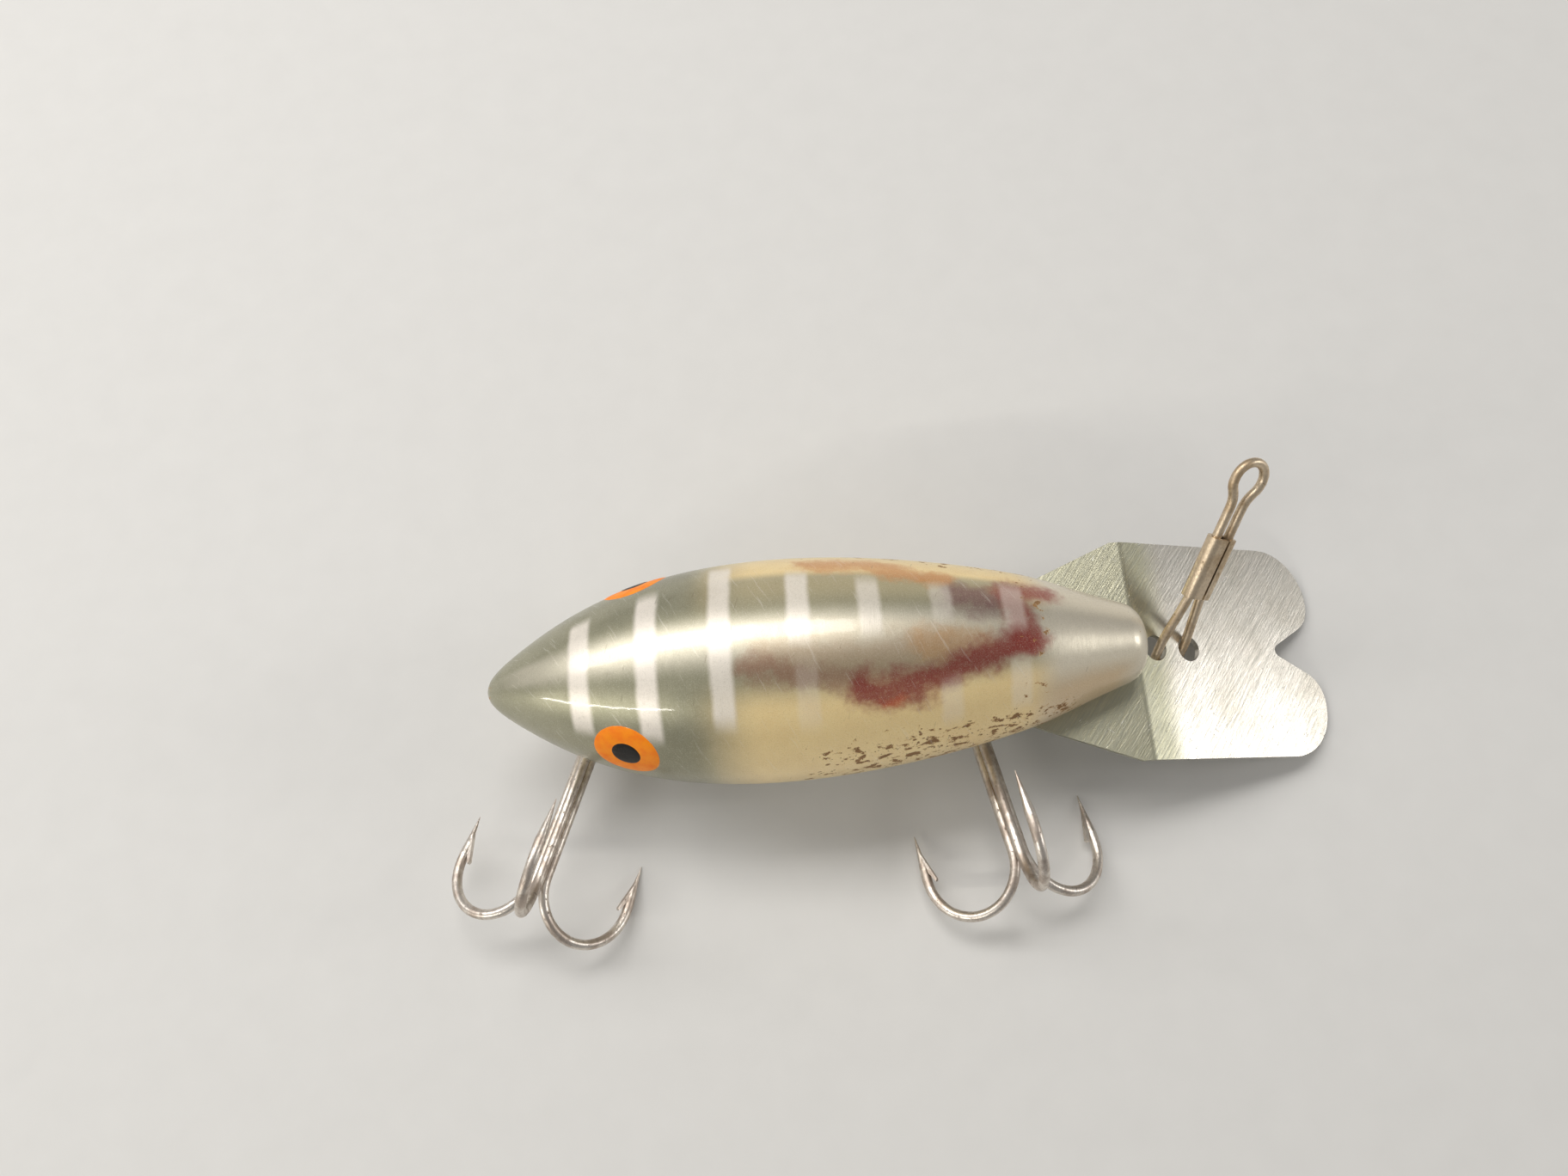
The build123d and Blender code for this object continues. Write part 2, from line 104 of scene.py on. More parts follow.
# ---------------------------------------------------------------- node helper
class Recipe:
    """One procedural material.  Each method adds nodes and returns the socket of its result."""

    def __init__(self, name):
        self.material = bpy.data.materials.new(name)
        self.material.use_nodes = True
        self.tree = self.material.node_tree
        self.tree.nodes.clear()
        self.shader = self.tree.nodes.new("ShaderNodeBsdfPrincipled")
        output = self.tree.nodes.new("ShaderNodeOutputMaterial")
        self.tree.links.new(self.shader.outputs["BSDF"], output.inputs["Surface"])
        coordinates = self.tree.nodes.new("ShaderNodeTexCoord")
        self.place = self.vector("SCALE", coordinates.outputs["Object"], scale=1 / MM)

    def put(self, socket, value):
        """Links another node's result to an input, or sets a plain value on it."""
        if isinstance(value, bpy.types.NodeSocket):
            self.tree.links.new(value, socket)
        else:
            socket.default_value = value

    def math(self, operation, first, second=0.0, third=0.0, clamp=False):
        node = self.tree.nodes.new("ShaderNodeMath")
        node.operation = operation
        node.use_clamp = clamp
        for socket, value in zip(node.inputs, (first, second, third)):
            self.put(socket, value)
        return node.outputs[0]

    def vector(self, operation, first, second=(0.0, 0.0, 0.0), scale=1.0):
        node = self.tree.nodes.new("ShaderNodeVectorMath")
        node.operation = operation
        self.put(node.inputs[0], first)
        if operation == "SCALE":
            self.put(node.inputs["Scale"], scale)
        elif operation != "LENGTH":
            self.put(node.inputs[1], second)
        scalar = operation in ("LENGTH", "DOT_PRODUCT")
        return node.outputs["Value" if scalar else "Vector"]

    def combine(self, x, y, z=0.0):
        node = self.tree.nodes.new("ShaderNodeCombineXYZ")
        for socket, value in zip(node.inputs, (x, y, z)):
            self.put(socket, value)
        return node.outputs[0]

    def split(self, vector):
        node = self.tree.nodes.new("ShaderNodeSeparateXYZ")
        self.put(node.inputs[0], vector)
        return node.outputs

    def ramp(self, value, start, end, low=0.0, high=1.0):
        """Smoothly from low at start to high at end."""
        node = self.tree.nodes.new("ShaderNodeMapRange")
        node.interpolation_type = "SMOOTHSTEP"
        for socket, item in zip(node.inputs, (value, start, end, low, high)):
            self.put(socket, item)
        return node.outputs[0]

    def band(self, value, low, high, soft):
        """One between low and high, fading to nothing over soft outside them."""
        rise = self.ramp(value, low - soft, low)
        fall = self.ramp(value, high, high + soft, 1.0, 0.0)
        return self.math("MULTIPLY", rise, fall)

    def product(self, *factors):
        """All the factors multiplied."""
        result = factors[0]
        for factor in factors[1:]:
            result = self.math("MULTIPLY", result, factor)
        return result

    def mix(self, factor, first, second):
        """The first colour at factor 0 and the second at 1."""
        node = self.tree.nodes.new("ShaderNodeMix")
        node.data_type = "RGBA"
        self.put(node.inputs["Factor"], factor)
        self.put(node.inputs["A"], first)
        self.put(node.inputs["B"], second)
        return node.outputs["Result"]

    def noise(self, vector, scale, detail=3.0, roughness=0.55):
        node = self.tree.nodes.new("ShaderNodeTexNoise")
        self.put(node.inputs["Vector"], vector)
        node.inputs["Scale"].default_value = scale
        node.inputs["Detail"].default_value = detail
        node.inputs["Roughness"].default_value = roughness
        return node.outputs["Fac"]

    def cloud(self, vector, scale):
        """Three noises at once, as a vector about (0.5, 0.5, 0.5)."""
        node = self.tree.nodes.new("ShaderNodeTexNoise")
        self.put(node.inputs["Vector"], vector)
        node.inputs["Scale"].default_value = scale
        return node.outputs["Color"]

    def bump(self, height, depth):
        """Relief of that depth in millimetres; height goes from 0 to 1."""
        node = self.tree.nodes.new("ShaderNodeBump")
        node.inputs["Distance"].default_value = depth * MM
        self.put(node.inputs["Height"], height)
        self.put(self.shader.inputs["Normal"], node.outputs["Normal"])
        return node.outputs["Normal"]

    def stroke(self, at, points, half_width, soft):
        """One within half_width of a line through points, fading over soft.  All in mm."""
        nearest = None
        for start, end in zip(points, points[1:]):
            first = Vector((start[0], math.radians(start[1]) * MEAN_RADIUS, 0))
            run = Vector((end[0], math.radians(end[1]) * MEAN_RADIUS, 0)) - first
            offset = self.vector("SUBTRACT", at, first)
            share = self.vector("DOT_PRODUCT", offset, run / run.length_squared)
            share = self.math("MULTIPLY", share, 1.0, clamp=True)
            foot = self.vector("SCALE", run, scale=share)
            gap = self.vector("LENGTH", self.vector("SUBTRACT", offset, foot))
            nearest = gap if nearest is None else self.math("MINIMUM", nearest, gap)
        return self.ramp(nearest, half_width, half_width + soft, 1.0, 0.0)


# ---------------------------------------------------------------- painted wood
SAGE = (srgb(142, 141, 118), srgb(172, 168, 144))
CREAM = (srgb(232, 202, 144), srgb(247, 224, 166))
WOOD = (srgb(104, 74, 42), srgb(168, 128, 82))
BELLY = srgb(236, 226, 200)
# painted shade, low on the flanks where the sage ends
SEAM_SHADE = srgb(120, 118, 92)             # where the sage ends on the flank
BACK = srgb(206, 194, 166)
# painted shade: the dark surroundings reflected on the far side of the back
FAR_BACK_SHADE = srgb(148, 146, 124)
# painted highlight along the top of the back
RIDGE_HIGHLIGHT = srgb(226, 218, 202)
PEARL = srgb(214, 206, 188)           # the nose
WORN_PEARL = srgb(208, 178, 134)
RIB = srgb(240, 232, 220)
LIGHT_FLECK = srgb(246, 240, 222)
DARK_FLECK = srgb(92, 84, 62)
PRIMER = srgb(206, 160, 96)           # shows round each chip
SCRATCH = srgb(120, 104, 78)
RUBBED = srgb(242, 236, 224)

SPRAY_LINES = (             # line, half width, soft edge, strength, colour
    (TAN_BACK, 0.3, 3.4, 0.50, srgb(172, 140, 106)),
    (GOLD_PATCH, 0.1, 2.6, 0.62, srgb(194, 150, 100)),
    (ORANGE_STRIPE, 0.2, 2.0, 0.85, srgb(206, 144, 82)),
    (PURPLE_PATCH, 0.5, 2.8, 0.80, srgb(128, 90, 90)),
    (BROWN_STRIPE, 0.1, 1.9, 0.62, srgb(148, 104, 84)),
    (RED_CAP, 0.4, 2.3, 0.90, srgb(152, 74, 64)),
    (RED_STRIPE, 0.5, 2.4, 0.94, srgb(140, 56, 48)),
    (ORANGE_SPOT, 0.1, 1.1, 0.45, srgb(206, 92, 46)),
)

DRIFT = (0.28, 3.6)         # slow wander of the sprayed lines: noise scale, reach in mm
FRAY = (1.5, 1.3)           # ragged edge of the sprayed lines: noise scale, reach in mm
CHIP_LIMIT = (0.80, 0.560)  # noise that shows as a chip, on sound paint and on worn paint
SPECK_LIMIT = (0.86, 0.62)  # the same for small specks
PAINT_RELIEF = 0.045        # mm


class BodyPlace:
    """Where a point is on the body, with the noises that every coat shares, as sockets."""

    def __init__(self, r):
        x, y, z = r.split(r.place)[:3]
        self.station = r.math("SUBTRACT", x, TAIL_X / MM)
        side = r.math("SUBTRACT", AXIS_Y / MM, y)
        rise = r.math("SUBTRACT", z, AXIS_Z / MM)
        self.angle = r.math("DEGREES", r.math("ARCTAN2", side, rise))
        self.spread = r.math("ABSOLUTE", self.angle)

        self.mottle = r.noise(r.place, 0.35, 4.0)
        self.grain = r.noise(r.place, 2.2, 5.0, 0.7)
        self.flecks = r.noise(r.place, 9.0, 2.0, 0.8)
        self.wander = r.math("MULTIPLY_ADD", self.mottle, 3.0, -1.5)

        # airbrushed edges wander a little
        self.station_w = r.math("ADD", self.station, r.math("MULTIPLY", self.wander, 0.15))
        self.angle_w = r.math("ADD", self.angle, r.math("MULTIPLY", self.wander, 2.0))
        self.round_w = r.math("MULTIPLY", r.math("RADIANS", self.angle_w), MEAN_RADIUS)


def shifted(r, scale, reach):
    """A wandering offset, up to about half of reach each way."""
    offset = r.vector("SUBTRACT", r.cloud(r.place, scale), (0.5, 0.5, 0.5))
    return r.vector("SCALE", offset, scale=reach)


def flank_mask(r, at):
    """One on the cream flanks and nothing on the sage."""
    return r.product(r.ramp(at.station_w, 23.5, 33.0), r.ramp(at.spread, 10.0, 34.0))


def base_coats(r, at, flank):
    """Sage, with cream flanks and a pearl nose, plus painted highlight and shade: a light band along
    the top of the back, shade low on the flanks where the sage ends, and shade on the far side of the
    back.
    """
    belly = r.ramp(at.spread, 100.0, 140.0)
    # painted shade: a darker band low on the flanks where the sage meets the cream
    seam_shade = r.product(r.band(at.station_w, 21.5, 24.0, 3.5), r.ramp(at.spread, 40.0, 60.0))
    back = r.product(r.ramp(at.station_w, 27.0, 38.0), r.ramp(at.spread, 26.0, 6.0))
    # painted shade and reflection: a darker band on the far side of the back only
    far_back_shade = r.product(r.band(at.station_w, 30.0, 60.0, 4.0), r.band(at.angle, -38.0, -14.0, 8.0))
    # painted highlight: a lighter band along the top of the back, where the overhead light falls
    ridge_highlight = r.product(r.band(at.angle, -10.0, 2.0, 12.0), r.ramp(at.station, 0.5, 6.0))
    nose = r.ramp(at.station_w, 60.5, 65.5)
    cheek = r.product(nose, r.ramp(at.angle_w, 26.0, 50.0), r.ramp(at.station_w, 75.0, 71.0))
    coats = (
        (flank, 1.0, r.mix(at.mottle, *CREAM)),
        (belly, 1.0, BELLY),
        (seam_shade, 0.45, SEAM_SHADE),
        (back, 0.60, BACK),
        (far_back_shade, 0.72, FAR_BACK_SHADE),
        (ridge_highlight, 0.42, RIDGE_HIGHLIGHT),
        (nose, 0.90, PEARL),
        (cheek, 0.75, WORN_PEARL),
    )
    color = r.mix(at.mottle, *SAGE)
    for mask, strength, tint in coats:
        color = r.mix(r.product(mask, strength), color, tint)
    return color


def sprayed_lines(r, at, color):
    """The coloured stripes and blends on the back."""
    wandering = r.vector("ADD", shifted(r, *DRIFT), shifted(r, *FRAY))
    spot = r.vector("ADD", r.combine(at.station_w, at.round_w), wandering)
    spot = r.vector("MULTIPLY", spot, (1.0, 1.0, 0.0))
    patchy = r.ramp(at.grain, 0.20, 0.60, 0.84, 1.0)
    for points, half_width, soft, strength, tint in SPRAY_LINES:
        mask = r.stroke(spot, points, half_width, soft)
        color = r.mix(r.product(mask, patchy, strength), color, tint)
    return color


def rib_mask(r, at):
    """One on the sprayed white ribs, less where they are faint."""
    ribs = None
    for place, low, high, strength in RIBS:
        across = r.band(at.station_w, place - RIB_HALF_WIDTH, place + RIB_HALF_WIDTH, RIB_EDGE)
        along = r.band(at.angle_w, low, high, RIB_END)
        rib = r.product(across, along, strength)
        ribs = rib if ribs is None else r.math("MAXIMUM", ribs, rib)
    return ribs


def chipping(r, at):
    """Chips down to the wood, thickest low on the flanks, and the primer that shows round them."""
    side_share = r.ramp(at.angle, -20.0, 20.0, 0.72, 1.0)
    ragged_station = r.math("MULTIPLY_ADD", at.wander, 4.0, at.station)
    ragged_spread = r.math("MULTIPLY_ADD", at.wander, 12.0, at.spread)
    along_flank = r.product(r.ramp(ragged_station, 24.0, 46.0), r.ramp(ragged_station, 76.0, 62.0))
    low_flank = r.product(along_flank, r.band(ragged_spread, 66.0, 90.0, 32.0), side_share)
    neck = r.product(r.band(at.station, 60.8, 63.4, 1.6), 0.62)
    tail = r.product(r.ramp(at.station, 1.6, 0.2), 0.8)
    nose_edge = r.product(r.band(at.station, 74.6, 75.6, 0.8), 0.55)
    wear = low_flank
    for worn in (neck, tail, nose_edge):
        wear = r.math("MAXIMUM", wear, worn)

    chip_noise = r.noise(r.vector("MULTIPLY", r.place, (0.9, 1.3, 1.3)), 0.80, 5.0, 0.60)
    speck_noise = r.noise(r.place, 1.9, 3.0, 0.6)
    past_limit = r.math("SUBTRACT", chip_noise, r.ramp(wear, 0.0, 1.0, *CHIP_LIMIT))
    chips = r.ramp(past_limit, 0.0, 0.018)
    specks = r.math("SUBTRACT", speck_noise, r.ramp(wear, 0.0, 1.0, *SPECK_LIMIT))
    chips = r.math("MAXIMUM", chips, r.ramp(specks, 0.0, 0.03))
    primer = r.ramp(past_limit, -0.035, 0.0)
    return chips, primer


def body_paint():
    """Sage and cream metallic spray with ribs and a red stripe, lacquered, and chipped below."""
    r = Recipe("body_paint")
    at = BodyPlace(r)
    flank = flank_mask(r, at)
    color = sprayed_lines(r, at, base_coats(r, at, flank))

    ribs = rib_mask(r, at)
    patchy = r.ramp(at.grain, 0.20, 0.55, 0.78, 1.0)
    color = r.mix(r.product(ribs, patchy), color, RIB)
    color = r.mix(r.ramp(at.flecks, 0.52, 0.75, 0.0, 0.28), color, LIGHT_FLECK)
    color = r.mix(r.ramp(at.flecks, 0.46, 0.30, 0.0, 0.22), color, DARK_FLECK)

    chips, primer = chipping(r, at)
    wood_grain = r.noise(r.vector("MULTIPLY", r.place, (0.25, 2.0, 2.0)), 1.4, 4.0)
    color = r.mix(r.product(primer, 0.55), color, PRIMER)
    color = r.mix(chips, color, r.mix(wood_grain, *WOOD))

    # hairlines round the body, slanting scratches, and streaks rubbed into the lacquer
    fine = r.combine(r.math("MULTIPLY", at.station, 9.0), r.math("MULTIPLY", at.angle, 0.10), at.mottle)
    hairs = r.noise(fine, 1.0, 2.0, 0.5)
    slant = r.combine(r.math("MULTIPLY_ADD", at.angle, 0.05, at.station), r.product(at.angle, 0.02))
    scratch = r.ramp(r.noise(slant, 3.4, 1.0), 0.735, 0.76)
    color = r.mix(r.product(scratch, 0.30), color, SCRATCH)
    streak = r.math("MULTIPLY_ADD", at.round_w, 0.8, r.product(at.station, -1.6))
    streak = r.combine(streak, r.product(at.station, 0.22))
    rubbed = r.ramp(r.noise(streak, 1.7, 3.0, 0.65), 0.60, 0.70)
    color = r.mix(r.product(rubbed, 0.22), color, RUBBED)

    sheen = r.product(r.ramp(flank, 0.0, 1.0, 0.72, 0.30), r.math("SUBTRACT", 1.0, chips))
    sheen = r.product(sheen, r.math("SUBTRACT", 1.0, r.product(ribs, 0.4)))
    rough = r.math("MULTIPLY_ADD", hairs, 0.14, 0.34)
    rough = r.math("ADD", rough, r.product(chips, 0.35))
    height = r.math("ADD", r.product(hairs, 0.16), r.product(at.flecks, 0.10))
    height = r.math("ADD", height, r.product(ribs, 0.25))
    height = r.math("SUBTRACT", height, chips)
    height = r.math("SUBTRACT", height, r.product(scratch, 0.2))

    r.put(r.shader.inputs["Base Color"], color)
    r.put(r.shader.inputs["Metallic"], sheen)
    r.put(r.shader.inputs["Roughness"], rough)
    r.put(r.shader.inputs["Coat Weight"], r.math("SUBTRACT", 0.45, r.product(chips, 0.45)))
    r.shader.inputs["Coat Roughness"].default_value = 0.07
    r.shader.inputs["Coat IOR"].default_value = 1.5
    r.bump(height, PAINT_RELIEF)
    return r.material


# ---------------------------------------------------------------- metals
BRUSH_TURN = 52.0           # degrees from the plug's length to the lip's grain
PLATE_CLEAN = srgb(226, 220, 210)
PLATE_FILM = srgb(204, 197, 185)
PLATE_BASE_SHADE = srgb(176, 174, 144)      # painted shade, with the nose's green painted in as a reflection, on the flat of the lip under and beside the nose
PLATE_GRAIN = srgb(150, 152, 144)
PLATE_MARK = srgb(236, 236, 230)
BASE_SHADE_FADE = (-2.4, -0.8)              # where that starts and is full, from the lip's top, mm


def worn_metal(name, clean, stain, deep, rough, brush=(1.0, 1.0, 1.0), stain_share=0.5, relief=0.02):
    """Plated metal: clean where it is rubbed, stained in patches, with fine scratches."""
    r = Recipe(name)
    patches = r.noise(r.place, 0.30, 5.0, 0.65)
    spots = r.noise(r.place, 1.9, 4.0, 0.7)
    lines = r.noise(r.vector("MULTIPLY", r.place, brush), 1.0, 3.0, 0.6)
    stained = r.ramp(patches, 0.62 - 0.3 * stain_share, 0.78 - 0.3 * stain_share)
    color = r.mix(stained, clean, stain)
    pits = r.ramp(spots, 0.60, 0.70)
    color = r.mix(r.product(pits, 0.7), color, deep)
    color = r.mix(r.ramp(lines, 0.30, 0.75, 0.0, 0.25), color, deep)
    surface = r.math("MULTIPLY_ADD", lines, 0.16, rough - 0.08)
    surface = r.math("ADD", surface, r.product(stained, 0.10))
    surface = r.math("ADD", surface, r.product(pits, 0.15))
    height = r.math("SUBTRACT", lines, r.product(pits, 0.8))
    r.put(r.shader.inputs["Base Color"], color)
    r.shader.inputs["Metallic"].default_value = 1.0
    r.put(r.shader.inputs["Roughness"], surface)
    r.bump(height, relief)
    return r.material


def brushed_plate():
    """Nickel plate: a fine grain across the lip, a few deeper scratches, a dull film, and painted shade
    on the flat under and beside the nose.
    """
    r = Recipe("lip_metal")
    grain_turn = Matrix.Rotation(math.radians(BRUSH_TURN), 3, "Z")
    along = r.vector("DOT_PRODUCT", r.place, grain_turn @ Vector((1, 0, 0)))
    across = r.vector("DOT_PRODUCT", r.place, grain_turn @ Vector((0, 1, 0)))
    fine = r.noise(r.combine(r.product(along, 0.30), r.product(across, 4.2)), 1.0, 4.0, 0.75)
    broad = r.noise(r.combine(r.product(along, 0.10), r.product(across, 1.4)), 1.0, 3.0, 0.6)
    film = r.noise(r.place, 0.16, 4.0, 0.6)
    scratch_at = r.combine(r.product(along, 0.35), r.product(across, 1.9), film)
    scratches = r.ramp(r.noise(scratch_at, 1.6, 2.0, 0.5), 0.70, 0.73)
    stray_at = r.combine(r.product(across, 0.30), r.product(along, 2.6))
    strays = r.ramp(r.noise(stray_at, 1.3, 1.0), 0.74, 0.76)
    marks = r.math("MAXIMUM", scratches, strays)
    height_above = r.split(r.place)[2]
    base_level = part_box("diving_lip")[1].z / MM
    fade_low, fade_high = (base_level + step for step in BASE_SHADE_FADE)
    # painted shade and green reflection on the flat of the lip by the nose, fading in towards the lip's
    # top
    base_shade = r.product(r.ramp(height_above, fade_low, fade_high), 0.8)
    color = r.mix(r.ramp(film, 0.35, 0.70), PLATE_CLEAN, PLATE_FILM)
    color = r.mix(base_shade, color, PLATE_BASE_SHADE)
    color = r.mix(r.ramp(fine, 0.35, 0.65, 0.0, 0.45), color, PLATE_GRAIN)
    color = r.mix(r.product(marks, 0.35), color, PLATE_MARK)
    rough = r.math("MULTIPLY_ADD", fine, 0.18, 0.17)
    rough = r.math("ADD", rough, r.product(film, 0.10))
    rough = r.math("ADD", rough, r.product(base_shade, 0.12))
    height = r.math("ADD", fine, r.product(broad, 0.9))
    height = r.math("SUBTRACT", height, r.product(marks, 0.8))
    r.put(r.shader.inputs["Base Color"], color)
    r.shader.inputs["Metallic"].default_value = 1.0
    r.put(r.shader.inputs["Roughness"], rough)
    r.bump(height, 0.03)
    return r.material


def metals():
    """The metal of every slot but the body's."""
    return {
        "lip_metal": brushed_plate(),
        "tie_metal": worn_metal(
            "tie_metal", srgb(222, 204, 178), srgb(196, 174, 144), srgb(124, 104, 80), 0.40,
            brush=(3.0, 3.0, 3.0), stain_share=0.5,
        ),
        "hook_metal": worn_metal(
            "hook_metal", srgb(226, 218, 208), srgb(190, 177, 165), srgb(118, 103, 92), 0.36,
            brush=(4.0, 1.0, 4.0), stain_share=0.6, relief=0.03,
        ),
        "fastener_metal": worn_metal(
            "fastener_metal", srgb(220, 212, 190), srgb(176, 158, 118), srgb(98, 82, 54), 0.30,
            brush=(3.0, 3.0, 3.0), stain_share=0.55,
        ),
        "braze_metal": worn_metal(
            "braze_metal", srgb(190, 170, 134), srgb(150, 126, 92), srgb(88, 70, 50), 0.42,
            brush=(4.0, 1.0, 4.0), stain_share=0.6, relief=0.05,
        ),
    }


# ---------------------------------------------------------------- enamel eyes
RINGS = 14
SEGMENTS = 72
IRIS = (srgb(255, 146, 0), srgb(250, 124, 0))
PUPIL = (srgb(8, 6, 4), srgb(18, 12, 8))
DUST = srgb(90, 60, 30)


def enamel(name, tint, dark, rough):
    """Thick glossy enamel with brush marks and dust in it."""
    r = Recipe(name)
    cloud = r.noise(r.place, 0.9, 4.0)
    dust = r.ramp(r.noise(r.place, 7.0, 2.0), 0.66, 0.74)
    color = r.mix(r.ramp(cloud, 0.35, 0.75), tint, dark)
    color = r.mix(r.product(dust, 0.35), color, DUST)
    r.put(r.shader.inputs["Base Color"], color)
    r.put(r.shader.inputs["Roughness"], r.math("MULTIPLY_ADD", cloud, 0.2, rough))
    r.shader.inputs["Specular IOR Level"].default_value = 0.30
    r.shader.inputs["Coat Weight"].default_value = 0.08
    r.shader.inputs["Coat Roughness"].default_value = 0.06
    r.bump(r.math("ADD", r.product(cloud, 0.6), r.product(dust, 0.4)), 0.03)
    return r.material


def enamel_disc(name, surface, eye, radius, height, material):
    """A domed drop of enamel that follows the body, with its rim sunk just under the paint."""
    station, angle = eye
    axis = Vector((TAIL_X + station * MM, AXIS_Y, AXIS_Z))
    outward = Vector((0, -math.sin(math.radians(angle)), math.cos(math.radians(angle))))
    foot, normal, _, _ = surface.ray_cast(axis, outward)
    along = (Vector((1, 0, 0)) - normal * normal.x).normalized()
    across = normal.cross(along)

    def point(share, turn):
        offset = along * math.cos(turn) + across * math.sin(turn)
        above = foot + offset * (radius * MM * share) + normal * (EYE_CLEAR * MM)
        hit = surface.ray_cast(above, -normal)[0]
        dome = height * math.sqrt(max(0.0, 1 - share ** 6)) - ENAMEL_SINK * share ** 8
        return hit + normal * (dome * MM)

    vertices = [point(0, 0)]
    for ring in range(1, RINGS + 1):
        share = math.sin(ring / RINGS * math.pi / 2)
        vertices += [point(share, 2 * math.pi * k / SEGMENTS) for k in range(SEGMENTS)]
    faces = [(0, 1 + k, 1 + (k + 1) % SEGMENTS) for k in range(SEGMENTS)]
    for ring in range(RINGS - 1):
        low = 1 + ring * SEGMENTS
        for k in range(SEGMENTS):
            nxt = (k + 1) % SEGMENTS
            faces.append((low + k, low + SEGMENTS + k, low + SEGMENTS + nxt, low + nxt))
    mesh = bpy.data.meshes.new(name)
    mesh.from_pydata(vertices, [], faces)
    mesh.shade_smooth()
    mesh.materials.append(material)
    disc = bpy.data.objects.new(name, mesh)
    bpy.context.scene.collection.objects.link(disc)
    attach(disc, "plug")


def painted_eyes():
    """An orange iris and a black pupil on each side."""
    body = NODES["wood_body"].data
    surface = BVHTree.FromPolygons(
        [v.co for v in body.vertices], [tuple(p.vertices) for p in body.polygons]
    )
    orange = enamel("iris_enamel", *IRIS, 0.42)
    black = enamel("pupil_enamel", *PUPIL, 0.34)
    for name, eye in EYES.items():
        enamel_disc(f"{name}_iris", surface, eye, IRIS_RADIUS, IRIS_HEIGHT, orange)
        enamel_disc(f"{name}_pupil", surface, eye, PUPIL_RADIUS, PUPIL_HEIGHT, black)


# ---------------------------------------------------------------- dressing the solids
LIP_EDGE = 0.16             # rounding of the lip's edges, mm
SLEEVE_EDGE = 0.07
EDGE_STEPS = 3
SHARP_EDGE = 50.0           # degrees between faces from which an edge is rounded


def dress():
    """Gives every solid its finished material, by the record's slots."""
    finishes = metals()
    finishes["body_paint"] = body_paint()
    slots = {item["node"]: item["material_slot"] for item in frame["record"]["subparts"]}
    for name, node in NODES.items():
        for place in node.material_slots:
            place.material = finishes[slots[name]]
    soften("diving_lip", LIP_EDGE)
    soften("line_tie_sleeve", SLEEVE_EDGE)


def soften(name, radius):
    """Rounds a stamped piece's sharp edges."""
    bevel = NODES[name].modifiers.new("softened_edges", "BEVEL")
    bevel.width = radius * MM
    bevel.segments = EDGE_STEPS
    bevel.limit_method = "ANGLE"
    bevel.angle_limit = math.radians(SHARP_EDGE)
    bevel.harden_normals = True


# ---------------------------------------------------------------- studio
FLOOR_SIZE = 3.0
VIEW_OFFSET = Vector((0.8, -26.5, 122.2)) * MM     # camera from the middle of the body's box
VIEW_FORWARD = Vector((-0.027, 0.285, -0.958))
VIEW_RIGHT = Vector((0.996, -0.070, -0.049))
VIEW_LENS = 24.67
VIEW_SENSOR = 36.0
VIEW_CLIP = 0.005
FLOOR_PALE = (srgb(208, 207, 204), srgb(214, 213, 210))
WORLD_COLOR = (0.92, 0.91, 0.90, 1.0)
WORLD_STRENGTH = 0.30
LIGHTS = (                  # name, place from the body's middle in m, size in m, watts, colour
    ("over_back", (-0.22, 0.26, 0.48), (0.80, 0.17), 3.3, (1.0, 0.98, 0.96)),
    ("lip_side", (0.78, -0.01, 0.30), (0.26, 0.18), 1.2, (1.0, 0.99, 0.97)),
    ("thin_strip", (-0.42, -0.27, 0.25), (0.46, 0.012), 0.9, (1.0, 0.97, 0.9)),
)


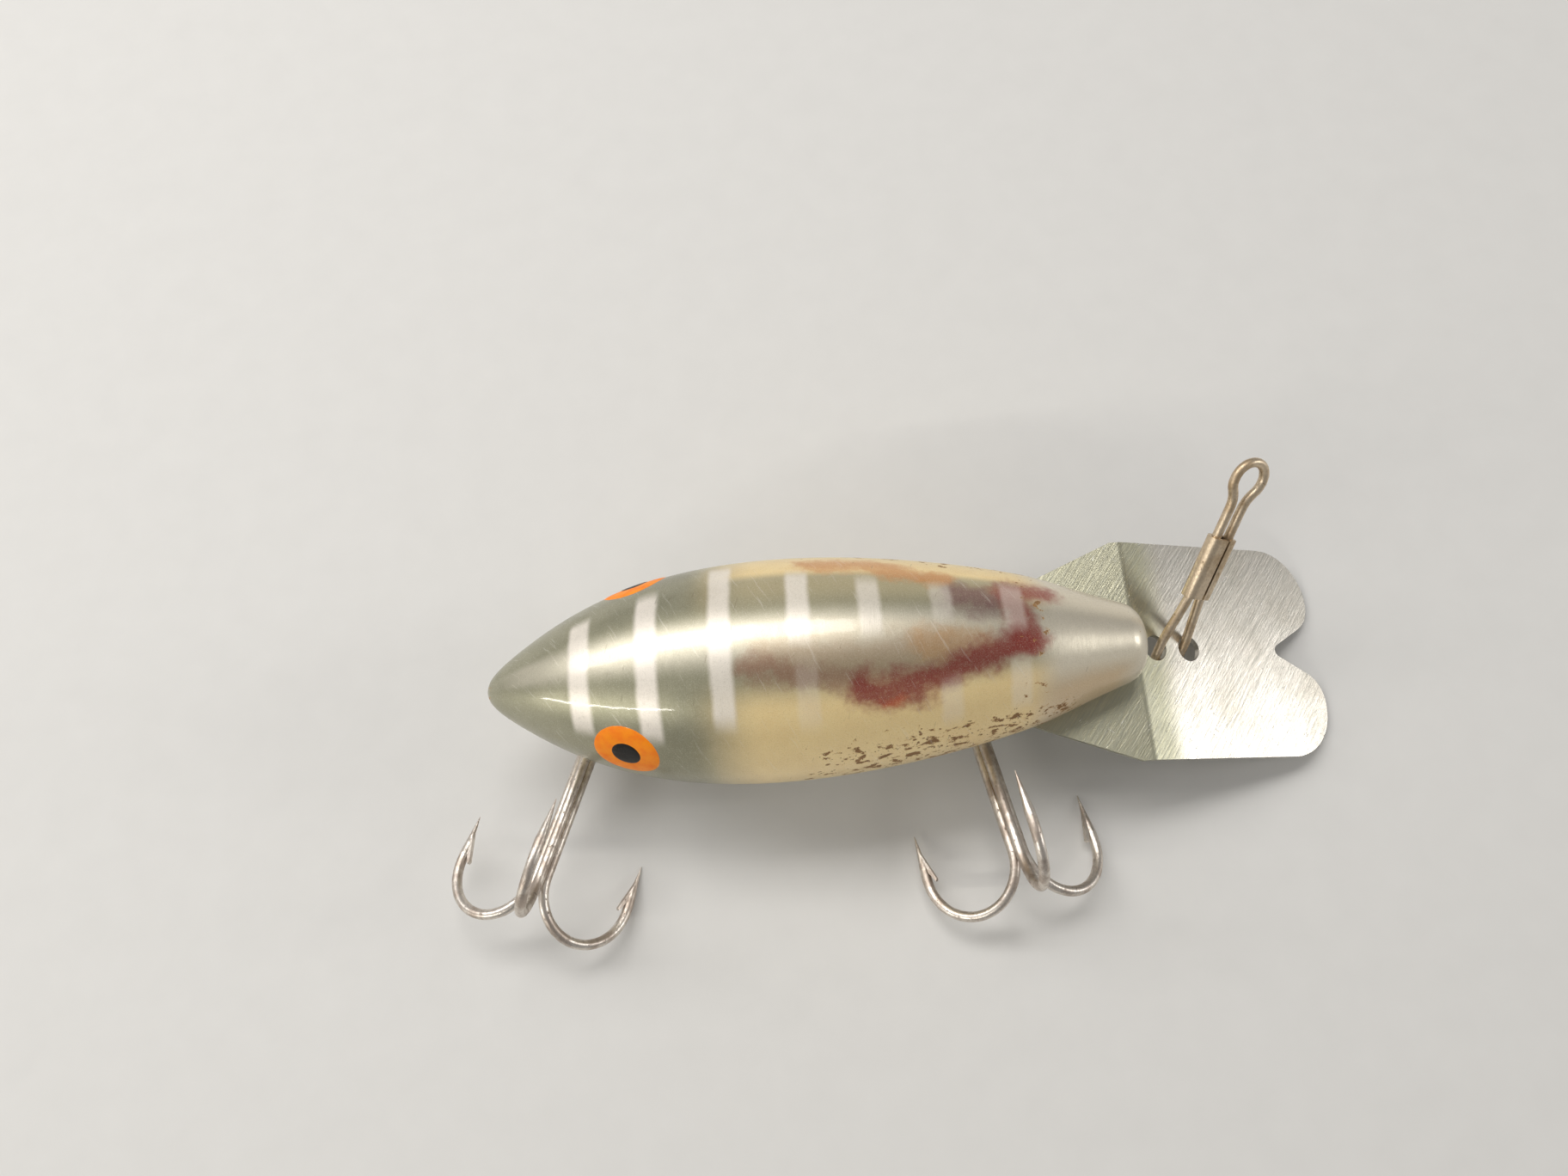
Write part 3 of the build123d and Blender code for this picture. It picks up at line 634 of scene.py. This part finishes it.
def floor():
    """A plain pale floor, which is not part of the object."""
    r = Recipe("floor")
    speck = r.noise(r.place, 0.2, 4.0)
    r.put(r.shader.inputs["Base Color"], r.mix(speck, *FLOOR_PALE))
    r.shader.inputs["Roughness"].default_value = 0.85
    mesh = bpy.data.meshes.new("floor")
    half = FLOOR_SIZE / 2
    corners = [(-half, -half, 0), (half, -half, 0), (half, half, 0), (-half, half, 0)]
    mesh.from_pydata(corners, [], [(0, 1, 2, 3)])
    mesh.materials.append(r.material)
    plane = bpy.data.objects.new("floor", mesh)
    bpy.context.scene.collection.objects.link(plane)


def area_light(name, offset, size, power, tint):
    """A soft rectangular light, placed from the body's middle and turned to it."""
    data = bpy.data.lights.new(name, "AREA")
    data.shape = "RECTANGLE"
    data.size, data.size_y = size
    data.energy = power
    data.color = tint
    lamp = bpy.data.objects.new(name, data)
    place = Vector(offset)
    sight = -place.normalized()
    side = Vector((1, 0, 0)) - sight * sight.x
    side.normalize()
    rows = Matrix((side, sight.cross(side), -sight)).transposed()
    lamp.matrix_world = Matrix.Translation(BODY_MIDDLE + place) @ rows.to_4x4()
    bpy.context.scene.collection.objects.link(lamp)


def studio():
    """Plain soft light: a wide one over the back, one at the lip's side, and a thin strip."""
    world = bpy.data.worlds.new("studio")
    world.use_nodes = True
    backdrop = world.node_tree.nodes["Background"]
    backdrop.inputs["Color"].default_value = WORLD_COLOR
    backdrop.inputs["Strength"].default_value = WORLD_STRENGTH
    bpy.context.scene.world = world
    for light in LIGHTS:
        area_light(*light)


def camera():
    data = bpy.data.cameras.new("camera")
    data.lens = VIEW_LENS
    data.sensor_width = VIEW_SENSOR
    data.clip_start = VIEW_CLIP
    eye = bpy.data.objects.new("camera", data)
    back = -VIEW_FORWARD.normalized()
    right = (VIEW_RIGHT - back * VIEW_RIGHT.dot(back)).normalized()
    rows = Matrix((right, back.cross(right), back)).transposed()
    eye.matrix_world = Matrix.Translation(BODY_MIDDLE + VIEW_OFFSET) @ rows.to_4x4()
    bpy.context.scene.collection.objects.link(eye)
    bpy.context.scene.camera = eye


bpy.context.scene.view_settings.view_transform = "Standard"
dress()
painted_eyes()
floor()
studio()
camera()
